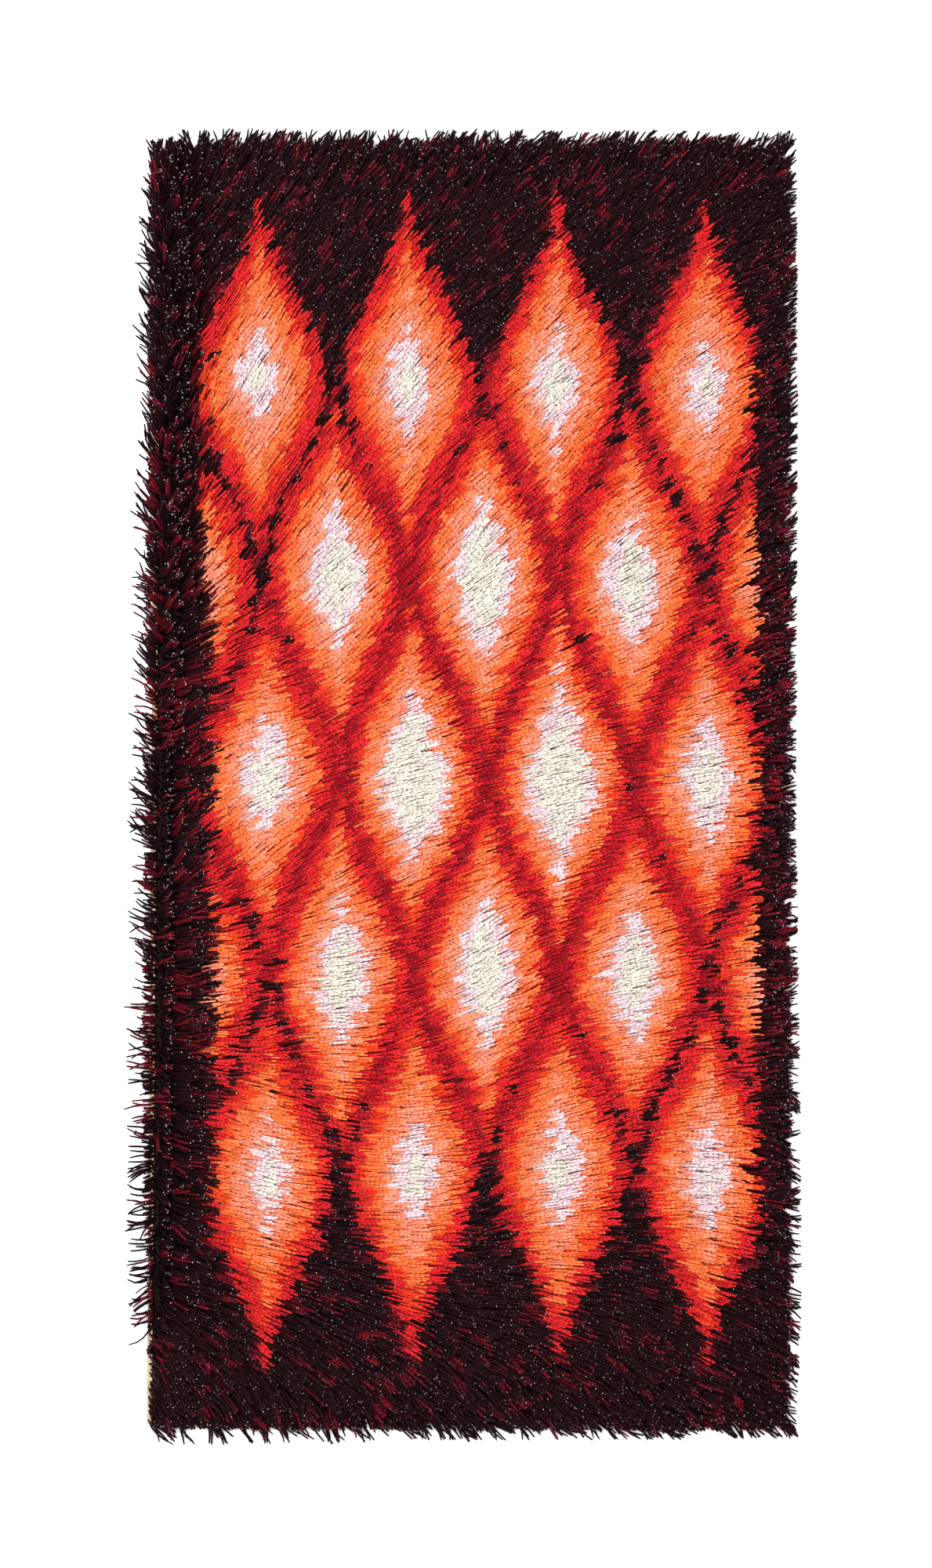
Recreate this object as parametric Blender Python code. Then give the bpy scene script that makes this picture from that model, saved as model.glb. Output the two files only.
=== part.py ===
"""A rya rug lying flat: its woven ground cloth and the long knotted pile that lies over it.

Metres, +Z up. The underside of the cloth is at z = 0, the rug's length runs along Y and its width
along X, and the origin is at the middle of the cloth. The pile leans towards +X, fanning up at the
top end and down at the bottom end, and its outermost ends stand past the cloth as locks.
"""

import math
from collections import namedtuple

import bmesh
import bpy
from mathutils import Vector, noise

# Ground cloth
CLOTH_WIDTH = 0.700
CLOTH_LENGTH = 1.400
CLOTH_THICKNESS = 0.0025
CORNER_RADIUS = 0.010
CORNER_DRAW = 0.010
EDGE_WANDER = 0.0012
EDGE_WANDER_LENGTH = 0.11
EDGE_STEP = 0.035
CLOTH_EDGE_ROUND = 0.0005

# Pile slab
GAP = 0.0003
PILE_HEIGHT = 0.0240
RIM_HEIGHT = 0.0175
RIM_SLOPE = 0.034
TUFT_SIZE = 0.056
TUFT_TILT = 0.0130
TUFT_CROWN = 0.0036
TUFT_MOST = 0.75
TUFT_WARP = 0.35
TUFT_PLANE = 4.3
GRID_ACROSS = 33
GRID_ALONG = 67
TOP_INSET = 0.013
TOP_CORNER_CUT = 0.30
FOOT_INSET = 0.0065
LOW_INSET = 0.0045
HIGH_INSET = 0.0050
LOW_HEIGHT = 0.0062
HIGH_HEIGHT = 0.0128

# Locks at the rim
LOCKS = 270
LOCK_MOST = 0.046
LOCK_LEAST = 0.006
LOCK_WIDTH = 0.80
LOCK_THICKNESS = 0.0060
TIP_SIZE = 0.45
TIP_FLOOR = 0.0004
LONG_REACH = 0.0175
SWING = math.radians(10)
SWING_WAVE = 0.05
SWING_PLANE = 7
LENGTH_SPREAD = 0.17
LENGTH_STEP = 0.7
LENGTH_PLANE = 3
SLANT_MOST = math.radians(62)

# Colours of the wool and of the ground cloth
PILE_COLOUR = (0.330, 0.022, 0.018, 1)
CLOTH_COLOUR = (0.560, 0.430, 0.270, 1)

LockStep = namedtuple("LockStep", "along height")

# The sections of a lock: how far along it each stands, and its height as a share of the root's.
# A long lock comes down to the floor and lies level there, and a short one stays up.
LONG_LOCK = (LockStep(0.36, 0.86), LockStep(0.74, 0.22), LockStep(1.0, 0.0))
SHORT_LOCK = (LockStep(0.45, 0.90), LockStep(1.0, 0.42))

Rim = namedtuple("Rim", "side at heading reach")

# How the outermost pile lies, clockwise from the top left corner. A side runs from 0 to 1, headings are
# degrees from +X and run on without a jump, and the reach is metres past the edge of the cloth.
RIM = (
    Rim("top", 0.00, 100, 0.0150),
    Rim("top", 0.15, 78, 0.0185),
    Rim("top", 0.60, 64, 0.0165),
    Rim("top", 0.95, 55, 0.0140),
    Rim("right", 0.03, 42, 0.0130),
    Rim("right", 0.25, 30, 0.0120),
    Rim("right", 0.45, 8, 0.0110),
    Rim("right", 0.60, 2, 0.0115),
    Rim("right", 0.75, -8, 0.0140),
    Rim("right", 0.92, -28, 0.0125),
    Rim("bottom", 0.05, -45, 0.0130),
    Rim("bottom", 0.30, -42, 0.0135),
    Rim("bottom", 0.60, -52, 0.0170),
    Rim("bottom", 0.85, -62, 0.0205),
    Rim("bottom", 0.98, -80, 0.0160),
    Rim("left", 0.01, -120, 0.0040),
    Rim("left", 0.05, -155, 0.0020),
    Rim("left", 0.07, -165, 0.0170),
    Rim("left", 0.20, -177, 0.0210),
    Rim("left", 0.35, -190, 0.0225),
    Rim("left", 0.50, -210, 0.0230),
    Rim("left", 0.70, -228, 0.0220),
    Rim("left", 0.95, -238, 0.0200),
)
SIDES = ("top", "right", "bottom", "left")

Lie = namedtuple("Lie", "y left middle right")

# Which way the pile lies over the rug, from the top end down: degrees from +X at the left edge,
# along the middle and at the right edge.
LIE = (
    Lie(0.70, 78, 62, 52),
    Lie(0.50, 48, 33, 30),
    Lie(0.30, 40, 24, 20),
    Lie(0.10, 24, 14, 8),
    Lie(-0.20, 8, 7, 0),
    Lie(-0.43, -8, 10, -8),
    Lie(-0.60, -26, -8, -24),
    Lie(-0.70, -62, -48, -42),
)


def clear_scene():
    for item in list(bpy.data.objects):
        bpy.data.objects.remove(item, do_unlink=True)


def wool(name, colour, roughness):
    """A plain woollen finish."""
    material = bpy.data.materials.new(name)
    material.use_nodes = True
    shader = material.node_tree.nodes["Principled BSDF"]
    shader.inputs["Base Color"].default_value = colour
    shader.inputs["Roughness"].default_value = roughness
    shader.inputs["Metallic"].default_value = 0
    return material


def add_object(name, bm, material):
    mesh = bpy.data.meshes.new(name)
    bm.to_mesh(mesh)
    bm.free()
    mesh.materials.append(material)
    obj = bpy.data.objects.new(name, mesh)
    bpy.context.scene.collection.objects.link(obj)
    return obj


def corners():
    """The cloth's four corners, clockwise from the top left one, which is drawn in."""
    half_width = CLOTH_WIDTH / 2
    half_length = CLOTH_LENGTH / 2
    return (
        Vector((-half_width + CORNER_DRAW, half_length)),
        Vector((half_width, half_length)),
        Vector((half_width, -half_length)),
        Vector((-half_width, -half_length)),
    )


def edge_point(side, at, inset):
    """A point on the cloth's outline moved inwards, with the way out of the cloth there."""
    ends = corners()
    start = ends[side]
    end = ends[(side + 1) % len(ends)]
    run = (end - start).normalized()
    out = Vector((-run.y, run.x))
    length = (end - start).length
    along = at * length
    wander = EDGE_WANDER * noise.noise(Vector((along / EDGE_WANDER_LENGTH, side, 0)))
    point = start + run * along + out * (wander - inset)
    before = CORNER_RADIUS - along
    after = along - (length - CORNER_RADIUS)
    for past, way in ((before, -run), (after, run)):
        if past > 0:
            turn = past / CORNER_RADIUS * math.pi / 4
            point -= out * CORNER_RADIUS * (1 - math.cos(turn)) + way * (
                past - CORNER_RADIUS * math.sin(turn)
            )
            point -= way * inset * math.sin(turn) * math.cos(math.pi / 4)
            out = (out * math.cos(turn) + way * math.sin(turn)).normalized()
    return point, out


def round_edge(count):
    """Stations spaced evenly round the cloth, as side and place along it."""
    ends = corners()
    lengths = [(ends[(i + 1) % len(ends)] - ends[i]).length for i in range(len(ends))]
    shares = [max(4, round(count * length / sum(lengths))) for length in lengths]
    return [(side, (k + 0.5) / share) for side, share in enumerate(shares) for k in range(share)]


def rim_at(side, at):
    """The heading and the reach of the outermost pile at a station, from the rows of RIM."""
    rows = [(SIDES.index(row.side) + row.at, row.heading, row.reach) for row in RIM]
    first = rows[0]
    rows.append((first[0] + len(SIDES), first[1] - 360, first[2]))
    place = side + at
    for low, high in zip(rows, rows[1:]):
        if low[0] <= place <= high[0]:
            part = (place - low[0]) / (high[0] - low[0])
            heading = low[1] + (high[1] - low[1]) * part
            reach = low[2] + (high[2] - low[2]) * part
            return math.radians(heading), reach
    raise ValueError(f"no row of RIM reaches {place}")


def lie_at(x, y):
    """The way the pile lies at a place inside the rim, from the rows of LIE."""
    y = max(LIE[-1].y, min(LIE[0].y, y))
    for upper, lower in zip(LIE, LIE[1:]):
        if lower.y <= y <= upper.y:
            part = (y - lower.y) / (upper.y - lower.y)
            left, middle, right = (low + (high - low) * part for low, high in zip(lower[1:], upper[1:]))
    share = min(1, abs(x) / (CLOTH_WIDTH / 2))
    outer = left if x < 0 else right
    heading = math.radians(middle + (outer - middle) * share)
    return Vector((math.cos(heading), math.sin(heading)))


def tuft(x, y):
    """How far the clumps of pile raise or lower its surface: each is a tile that rises to its tip."""
    place = Vector((x, y)) / TUFT_SIZE
    warp = noise.noise_vector(Vector((place.x, place.y, 0))).xy * TUFT_WARP
    _, centres = noise.voronoi(Vector((place.x + warp.x, place.y + warp.y, TUFT_PLANE)))
    offset = place + warp - centres[0].xy
    if offset.length > TUFT_MOST:
        offset = offset.normalized() * TUFT_MOST
    return TUFT_TILT * offset.dot(lie_at(x, y)) + TUFT_CROWN * (0.5 - 2 * offset.length_squared)


def top_height(x, y):
    """How high the pile stands at a place: tufted, and rounded down towards the rim."""
    inside = min(CLOTH_WIDTH / 2 - abs(x), CLOTH_LENGTH / 2 - abs(y)) - TOP_INSET
    rise = min(1, max(0, inside / RIM_SLOPE))
    shoulder = math.sin(rise * math.pi / 2)
    return RIM_HEIGHT + (PILE_HEIGHT - RIM_HEIGHT) * shoulder + tuft(x, y) * (1 + 2 * shoulder) / 3


def ring(bm, stations, inset, height):
    """A loop of points round the slab, one between each pair of neighbouring locks."""
    points = []
    for side, at in stations:
        point, _ = edge_point(side, at, inset)
        points.append(bm.verts.new((point.x, point.y, height)))
    return points


def band(bm, low, high):
    """The quads of the wall between two rings with the same number of points."""
    faces = []
    for i in range(len(low)):
        j = (i + 1) % len(low)
        faces.append(bm.faces.new((low[j], low[i], high[i], high[j])))
    return faces


def stitch(bm, low, high):
    """The triangles of the wall between two rings with different numbers of points."""
    i = 0
    j = 0
    while i < len(low) or j < len(high):
        near = (i + 1) / len(low)
        far = (j + 1) / len(high)
        bottom = low[i % len(low)]
        top = high[j % len(high)]
        if near <= far:
            i += 1
            bm.faces.new((low[i % len(low)], bottom, top))
        else:
            j += 1
            bm.faces.new((bottom, top, high[j % len(high)]))


def top_grid(bm):
    """The lumpy top as a grid of quads, and its border clockwise from the top left corner."""
    half_width = CLOTH_WIDTH / 2 - TOP_INSET
    half_length = CLOTH_LENGTH / 2 - TOP_INSET
    cell = 2 * half_width / GRID_ACROSS
    rows = []
    for j in range(GRID_ALONG + 1):
        y = half_length - 2 * half_length * j / GRID_ALONG
        row = []
        for i in range(GRID_ACROSS + 1):
            x = -half_width + 2 * half_width * i / GRID_ACROSS
            corner = i in (0, GRID_ACROSS) and j in (0, GRID_ALONG)
            cut = cell * TOP_CORNER_CUT if corner else 0
            draw = CORNER_DRAW * (half_length + y) / CLOTH_LENGTH * (half_width - x) / CLOTH_WIDTH
            place_x = x - math.copysign(cut, x) + draw
            place_y = y - math.copysign(cut, y)
            row.append(bm.verts.new((place_x, place_y, top_height(place_x, place_y))))
        rows.append(row)
    for upper, lower in zip(rows, rows[1:]):
        for i in range(GRID_ACROSS):
            bm.faces.new((upper[i], lower[i], lower[i + 1], upper[i + 1]))
    top = rows[0][:-1]
    right = [row[-1] for row in rows[:-1]]
    bottom = rows[-1][:0:-1]
    left = [row[0] for row in rows[:0:-1]]
    return top + right + bottom + left


def lock_line(root, out, heading, reach, index):
    """The middle of each section of a lock, how far along it that stands, and the lock's way."""
    turn = SWING * noise.noise(Vector((root.x / SWING_WAVE, root.y / SWING_WAVE, SWING_PLANE)))
    way = Vector((math.cos(heading + turn), math.sin(heading + turn)))
    lean = max(math.cos(SLANT_MOST), way.dot(out))
    spread = 1 + LENGTH_SPREAD * noise.noise(Vector((index * LENGTH_STEP, LENGTH_PLANE, 1)))
    length = min(LOCK_MOST, max(LOCK_LEAST, (reach * spread + HIGH_INSET) / lean))
    lowest = LOCK_THICKNESS * TIP_SIZE / 2 + TIP_FLOOR
    line = []
    for step in LONG_LOCK if reach > LONG_REACH else SHORT_LOCK:
        place = root.xy + way * length * step.along
        height = lowest + (root.z - lowest) * step.height
        line.append((Vector((place.x, place.y, height)), step.along))
    return line, way, lean


def pull_lock(bm, face, heading, reach, out, index):
    """One lock drawn out of its face of the wall, narrower towards a blunt tip."""
    root = face.calc_center_median()
    width = (face.verts[0].co - face.verts[1].co).xy.length
    line, way, lean = lock_line(root, out, heading, reach, index)
    across = Vector((-way.y, way.x, 0))
    for centre, along in line:
        size = 1 + (TIP_SIZE - 1) * along
        half_width = width * LOCK_WIDTH * lean * size / 2
        half_height = LOCK_THICKNESS * size / 2
        order = [(vert.co - root).dot(across) > 0 for vert in face.verts]
        levels = [vert.co.z for vert in face.verts]
        middle = sum(levels) / len(levels)
        face = bmesh.ops.extrude_discrete_faces(bm, faces=[face])["faces"][0]
        for vert, right, level in zip(face.verts, order, levels):
            side = half_width if right else -half_width
            height = half_height if level > middle else -half_height
            vert.co = centre + across * side + Vector((0, 0, height))


def build_pile():
    """The slab of pile on the cloth, with the locks round its rim."""
    bm = bmesh.new()
    stations = round_edge(LOCKS)
    foot = ring(bm, stations, FOOT_INSET, CLOTH_THICKNESS + GAP)
    low = ring(bm, stations, LOW_INSET, LOW_HEIGHT)
    high = ring(bm, stations, HIGH_INSET, HIGH_HEIGHT)
    bm.faces.new(foot)
    band(bm, foot, low)
    walls = band(bm, low, high)
    stitch(bm, high, top_grid(bm))
    bmesh.ops.recalc_face_normals(bm, faces=bm.faces[:])
    for index, wall in enumerate(walls):
        side, at = stations[index]
        following, beyond = stations[(index + 1) % len(stations)]
        at = (at + beyond) / 2 if following == side else 1
        _, out = edge_point(side, at, HIGH_INSET)
        heading, reach = rim_at(side, at)
        pull_lock(bm, wall, heading, reach, out, index)
    pile = add_object("pile", bm, wool("pile_wool", PILE_COLOUR, 0.9))
    pile.data.shade_smooth()
    pile.data.set_sharp_from_angle(angle=math.radians(50))
    return pile


def cloth_stations():
    """Stations round the cloth: the corners, their rounding, and evenly between them."""
    ends = corners()
    stations = []
    for side, start in enumerate(ends):
        length = (ends[(side + 1) % len(ends)] - start).length
        rounding = CORNER_RADIUS / length
        steps = round(length / EDGE_STEP)
        between = [k / steps for k in range(steps) if rounding < k / steps < 1 - rounding]
        places = [0, rounding / 2, rounding, *between, 1 - rounding, 1 - rounding / 2]
        stations += [(side, at) for at in places]
    return stations


def build_backing():
    """The woven cloth, flat on its underside, with its slightly wandering edges softened."""
    bm = bmesh.new()
    border = []
    for side, at in cloth_stations():
        point, _ = edge_point(side, at, 0)
        border.append(bm.verts.new((point.x, point.y, 0)))
    under = bm.faces.new(border)
    raised = bmesh.ops.extrude_face_region(bm, geom=[under])["geom"]
    top = [item for item in raised if isinstance(item, bmesh.types.BMVert)]
    bmesh.ops.translate(bm, verts=top, vec=(0, 0, CLOTH_THICKNESS))
    bmesh.ops.recalc_face_normals(bm, faces=bm.faces[:])
    rim = [edge for edge in bm.edges if abs(edge.verts[0].co.z - edge.verts[1].co.z) < GAP]
    bmesh.ops.bevel(bm, geom=rim, offset=CLOTH_EDGE_ROUND, segments=1, affect="EDGES")
    return add_object("backing", bm, wool("backing_cloth", CLOTH_COLOUR, 0.85))


def main():
    clear_scene()
    build_backing()
    build_pile()


main()
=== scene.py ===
"""The looks of a rya rug: its woven ground cloth, and its pile of two-ply wool, end by end."""

import logging
from dataclasses import dataclass, field
from enum import Enum
from math import hypot, pi, radians

import bmesh
import bpy
import numpy as np
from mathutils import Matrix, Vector, noise


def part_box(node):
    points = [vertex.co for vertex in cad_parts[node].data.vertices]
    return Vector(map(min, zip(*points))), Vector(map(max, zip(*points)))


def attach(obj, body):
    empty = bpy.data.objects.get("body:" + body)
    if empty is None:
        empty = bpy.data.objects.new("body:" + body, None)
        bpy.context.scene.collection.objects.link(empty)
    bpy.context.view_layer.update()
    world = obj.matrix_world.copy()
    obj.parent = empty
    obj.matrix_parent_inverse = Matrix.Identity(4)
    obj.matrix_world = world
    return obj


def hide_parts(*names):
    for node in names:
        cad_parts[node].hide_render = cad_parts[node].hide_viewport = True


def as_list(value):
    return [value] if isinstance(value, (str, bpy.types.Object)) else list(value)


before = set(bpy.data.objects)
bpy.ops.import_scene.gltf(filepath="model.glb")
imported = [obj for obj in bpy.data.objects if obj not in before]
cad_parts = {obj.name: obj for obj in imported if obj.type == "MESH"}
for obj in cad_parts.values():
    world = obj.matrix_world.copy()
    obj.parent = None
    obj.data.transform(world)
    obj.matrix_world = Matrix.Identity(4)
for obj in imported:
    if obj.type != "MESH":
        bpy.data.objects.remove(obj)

log = logging.getLogger("rug")

Array = np.ndarray
Ends = dict[str, np.ndarray]
Chance = np.random.Generator
Socket = bpy.types.NodeSocket
Triple = tuple[float, float, float]
Piece = bpy.types.Object

BODY = "root"
CLOTH_NODE = "backing"
PILE_NODE = "pile"
BAKE_MAP = "OFBake"

# The rug's own sizes, in metres, as its solids have them.
CLOTH_WIDTH = 0.700
CLOTH_LENGTH = 1.400
CLOTH_THICKNESS = 0.0025
CORNER_DRAW = 0.010
PHOTO_SCALE = 0.00086
SEED = 1974


class YarnName(Enum):
    """The wool colours, from the middle of a motif outwards, then the ground."""

    IVORY = 0
    PINK = 1
    PEACH = 2
    ORANGE = 3
    VERMILION = 4
    RED = 5
    CRIMSON = 6
    WINE = 7
    GROUND = 8


@dataclass(frozen=True)
class Yarn:
    """One colour of two-ply wool, and how it takes the light.

    Attributes:
        colour: the wool's own colour, linear red, green and blue.
        spread: how far single ends are lighter or darker, as a share.
        hue_shift: the colour that some ends lean towards, linear.
        tint: the colour of its sheen and shine.
        sheen: the weight of the soft sheen of its fibres.
        roughness: how matt its fibres are.
        shine: the specular level of its fibres.
        glint: the share of its ends whose cut tip gets a painted glint, a pale spot standing in for a
            highlight.
        groove: how dark the painted shade in the groove between its two plies is, as a share of its
            colour.
        loft: its ends' thickness, as a share of the usual one.
        more: how many ends more than the usual its knots have.
    """

    colour: Triple
    spread: float
    hue_shift: Triple
    tint: Triple
    sheen: float = 0.06
    roughness: float = 0.60
    shine: float = 0.16
    glint: float = 0.05
    groove: float = 0.80
    loft: float = 1.0
    more: int = 0


PALE = (1.0, 0.95, 0.90)
WARM = (1.0, 0.55, 0.40)
DEEP = (1.0, 0.42, 0.46)

YARNS = {
    YarnName.IVORY: Yarn(
        (0.63, 0.575, 0.500), 0.06, (0.59, 0.530, 0.450), PALE, groove=0.84, loft=1.12, more=1
    ),
    YarnName.PINK: Yarn(
        (0.650, 0.470, 0.495), 0.06, (0.63, 0.435, 0.465), PALE, groove=0.84, loft=1.10, more=1
    ),
    YarnName.PEACH: Yarn((0.87, 0.250, 0.155), 0.07, (0.85, 0.205, 0.11), WARM, groove=0.76, loft=1.00),
    YarnName.ORANGE: Yarn((0.85, 0.168, 0.050), 0.08, (0.83, 0.122, 0.030), WARM, groove=0.74, loft=0.98),
    YarnName.VERMILION: Yarn(
        (0.75, 0.050, 0.013), 0.09, (0.73, 0.036, 0.009), WARM, groove=0.68, loft=0.96
    ),
    YarnName.RED: Yarn((0.64, 0.012, 0.018), 0.16, (0.52, 0.009, 0.015), WARM, groove=0.60, loft=0.93),
    YarnName.CRIMSON: Yarn(
        (0.37, 0.0026, 0.010), 0.22, (0.27, 0.002, 0.008), DEEP, glint=0.22, groove=0.52, loft=0.92
    ),
    YarnName.WINE: Yarn(
        (0.128, 0.0046, 0.0108), 0.34, (0.056, 0.0030, 0.0062), DEEP,
        sheen=0.012, roughness=0.5, shine=0.12, glint=0.70, groove=0.60,
    ),
    YarnName.GROUND: Yarn(
        (0.0112, 0.0030, 0.0042), 0.35, (0.0062, 0.0019, 0.0026), DEEP,
        sheen=0.012, roughness=0.5, shine=0.10, glint=0.85, groove=0.60,
    ),
}

# The two plies, and the painted glint on some cut tips, in each end's own cell of the map: across it is
# the way round the end, from 0 to 1, and up it the way along.
PLIES = 2.0
PLY_TURNS = 9.0
PLY_RISE = 0.00035
GLINT_FROM = 0.914
GLINT_AROUND = 0.62
GLINT_COLOUR = (0.66, 0.58, 0.60)
GLINT_POWER = 1.7


@dataclass(frozen=True)
class LieRow:
    """How the pile lies across the rug at one height of it, in degrees from +X.

    Attributes:
        y: the place along the rug.
        edge: the heading of the outermost ends at the left edge.
        zone: how wide the strip is over which they turn into the pile inside them.
        left: the heading inside that strip.
        inner_left: the heading halfway from there to the middle.
        middle: the heading along the middle.
        inner_right: the heading halfway to the right edge.
        right: the heading near the right edge.
    """

    y: float
    edge: float
    zone: float
    left: float
    inner_left: float
    middle: float
    inner_right: float
    right: float


@dataclass(frozen=True)
class RimRow:
    """How the ends stand out at one share of the way along a side of the cloth.

    Attributes:
        at: the share of the way along the side.
        reach: how far past the cloth the ends that stand out reach, in metres.
        out: the share of the ends that stand out.
        rest: how far past the cloth the others reach, in metres.
    """

    at: float
    reach: float
    out: float = 0.5
    rest: float = 0.003


def clear_selection() -> None:
    """Leaves nothing selected and nothing active, in object mode."""
    if bpy.context.object and bpy.context.object.mode != "OBJECT":
        bpy.ops.object.mode_set(mode="OBJECT")
    bpy.ops.object.select_all(action="DESELECT")


def smooth_step(value: Array) -> Array:
    """An even S-shaped ramp from 0 to 1, for values from 0 to 1."""
    value = np.clip(value, 0, 1)
    return value * value * (3 - 2 * value)


def noise_over(x: Array, y: Array, scale: float, plane: float) -> Array:
    """Smooth noise from about -1 to 1 at many places of the rug.

    Args:
        x: the places across the rug.
        y: the places along it.
        scale: the size of the noise's features, in metres.
        plane: which of many unlike patterns is read.

    Returns:
        One value for each place.
    """
    read = noise.noise
    return np.array([read((a, b, plane)) for a, b in zip((x / scale).tolist(), (y / scale).tolist())])


@dataclass
class Lie:
    """Which way the pile lies at each place, and how far its ends reach past the cloth."""

    rows: tuple[LieRow, ...] = (
        LieRow(-0.70, 250, 0.003, -60, -56, -48, -46, -42),
        LieRow(-0.64, 225, 0.003, -46, -46, -36, -33, -30),
        LieRow(-0.55, 198, 0.014, -22, -18, -3, -6, -25),
        LieRow(-0.45, 187, 0.014, -11, -2, 18, 10, -13),
        LieRow(-0.36, 178, 0.014, -14, -8, 18, 15, -3),
        LieRow(-0.26, 170, 0.014, 7, 10, 28, 13, 5),
        LieRow(-0.17, 164, 0.013, 15, 17, 27, 18, 11),
        LieRow(-0.08, 158, 0.014, 40, 28, 20, 11, 10),
        LieRow(0.02, 150, 0.015, 20, 18, 12, 10, 4),
        LieRow(0.11, 145, 0.017, 15, 28, 26, 22, 22),
        LieRow(0.21, 138, 0.022, 40, 42, 38, 30, 26),
        LieRow(0.32, 130, 0.027, 54, 51, 42, 34, 30),
        LieRow(0.45, 126, 0.028, 55, 51, 38, 37, 28),
        LieRow(0.59, 118, 0.028, 46, 52, 42, 38, 29),
        LieRow(0.67, 106, 0.025, 58, 54, 50, 44, 43),
        LieRow(0.70, 100, 0.022, 78, 66, 60, 54, 52),
    )
    columns: tuple[tuple[str, float], ...] = (
        ("left", -0.27), ("inner_left", -0.14), ("middle", 0.0), ("inner_right", 0.14), ("right", 0.31),
    )
    left_rim: tuple[RimRow, ...] = (
        RimRow(0.000, 0.004, 0.10, -0.006),
        RimRow(0.052, 0.003, 0.03, -0.006),
        RimRow(0.060, 0.023, 0.26, -0.006),
        RimRow(0.110, 0.024, 0.28, -0.003),
        RimRow(0.180, 0.028, 0.34, 0.004),
        RimRow(0.300, 0.031, 0.36, 0.006),
        RimRow(0.700, 0.031, 0.36, 0.006),
        RimRow(0.760, 0.026, 0.22, 0.004),
        RimRow(0.850, 0.027, 0.36, 0.006),
        RimRow(0.960, 0.021, 0.46, 0.005),
        RimRow(1.000, 0.015, 0.50, 0.004),
    )
    right_rim: tuple[RimRow, ...] = (
        RimRow(0.00, 0.014, 0.50, 0.004),
        RimRow(0.12, 0.020, 0.45, 0.006),
        RimRow(0.30, 0.017, 0.45, 0.006),
        RimRow(0.50, 0.013, 0.50, 0.005),
        RimRow(0.80, 0.015, 0.55, 0.006),
        RimRow(1.00, 0.014, 0.60, 0.006),
    )
    bottom_rim: tuple[RimRow, ...] = (
        RimRow(0.00, 0.024, 0.30, 0.001),
        RimRow(0.20, 0.024, 0.36, 0.003),
        RimRow(0.50, 0.020, 0.40, 0.004),
        RimRow(1.00, 0.015, 0.45, 0.004),
    )
    top_rim: tuple[RimRow, ...] = (
        RimRow(0.00, 0.022, 0.55, 0.008),
        RimRow(0.40, 0.021, 0.50, 0.008),
        RimRow(1.00, 0.019, 0.50, 0.008),
    )
    parting_rise: float = 0.72
    parting_place: float = 1.00
    parting_share: float = 0.55
    parting_mix: float = 0.42
    parting_turn: float = 0.62
    parting_edge: float = 3.0
    parting_from: float = 0.010
    mix_reach: float = 1.3
    slow_swing: float = radians(9)
    slow_scale: float = 0.070
    quick_swing: float = radians(3)
    quick_scale: float = 0.020
    rim_swing: float = radians(17)
    rim_scale: float = 0.026
    calm_from: float = 0.105
    knot_spread: float = 0.08
    reach_spread: float = 0.16
    rest_spread: float = 0.0016

    def heading_across(self, x: Array, y: Array) -> Array:
        """The heading of the pile inside the left strip.

        Args:
            x: the places across the rug.
            y: the places along it.

        Returns:
            One angle from +X for each place, in radians.
        """
        places = [row.y for row in self.rows]
        spots = [place for _, place in self.columns]
        share = np.interp(x, spots, np.arange(len(spots)))
        total = np.zeros(len(x))
        for index, (name, _) in enumerate(self.columns):
            heading = np.interp(y, places, [getattr(row, name) for row in self.rows])
            total += heading * np.clip(1 - np.abs(share - index), 0, 1)
        return np.radians(total)

    def vectors(self, x: Array, y: Array, rng: Chance) -> Array:
        """The lie at many roots.

        Args:
            x: the roots' places across the rug.
            y: the roots' places along it.
            rng: the source of chance.

        Returns:
            A flat vector for each root: near 1 long where the pile lies down, near 0 where it stands.
        """
        inner = self.heading_across(x, y)
        edge, zone = self.edge_heading(y), self.edge_zone(y)
        inside = x - left_edge(y)
        near = inside < zone * self.mix_reach
        mixed = inside / zone + rng.normal(0, self.parting_mix, len(x)) * near
        turned = 1 - smooth_step((mixed - self.parting_turn) * self.parting_edge + 0.5)
        along_x = turned * np.cos(edge) + (1 - turned) * np.cos(inner)
        along_y = turned * np.sin(edge) + (1 - turned) * np.sin(inner)
        swing = self.slow_swing * noise_over(x, y, self.slow_scale, 1.5)
        swing = swing + self.quick_swing * noise_over(x, y, self.quick_scale, 8.5)
        swing = swing + self.rim_swing * self.unrest(x, y) * noise_over(x, y, self.rim_scale, 5.5)
        cos, sin = np.cos(swing), np.sin(swing)
        strip = (inside / zone - self.parting_place) / self.parting_share
        stand = 1 - self.parting_rise * np.exp(-(strip**2)) * (zone > self.parting_from)
        size = stand / np.maximum(np.hypot(along_x, along_y), 1e-3)
        turned_x, turned_y = along_x * cos - along_y * sin, along_x * sin + along_y * cos
        return np.stack((turned_x * size, turned_y * size), axis=1)

    def edge_heading(self, y: Array) -> Array:
        """The heading of the outermost ends at the left edge, in radians."""
        return np.radians(np.interp(y, [row.y for row in self.rows], [row.edge for row in self.rows]))

    def edge_zone(self, y: Array) -> Array:
        """How wide the left strip is."""
        return np.interp(y, [row.y for row in self.rows], [row.zone for row in self.rows])

    def unrest(self, x: Array, y: Array) -> Array:
        """How tousled the pile is at each place: 0 inside the rug, 1 at its rim."""
        return 1 - smooth_step(-past_cloth(x, y) / self.calm_from)

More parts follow.
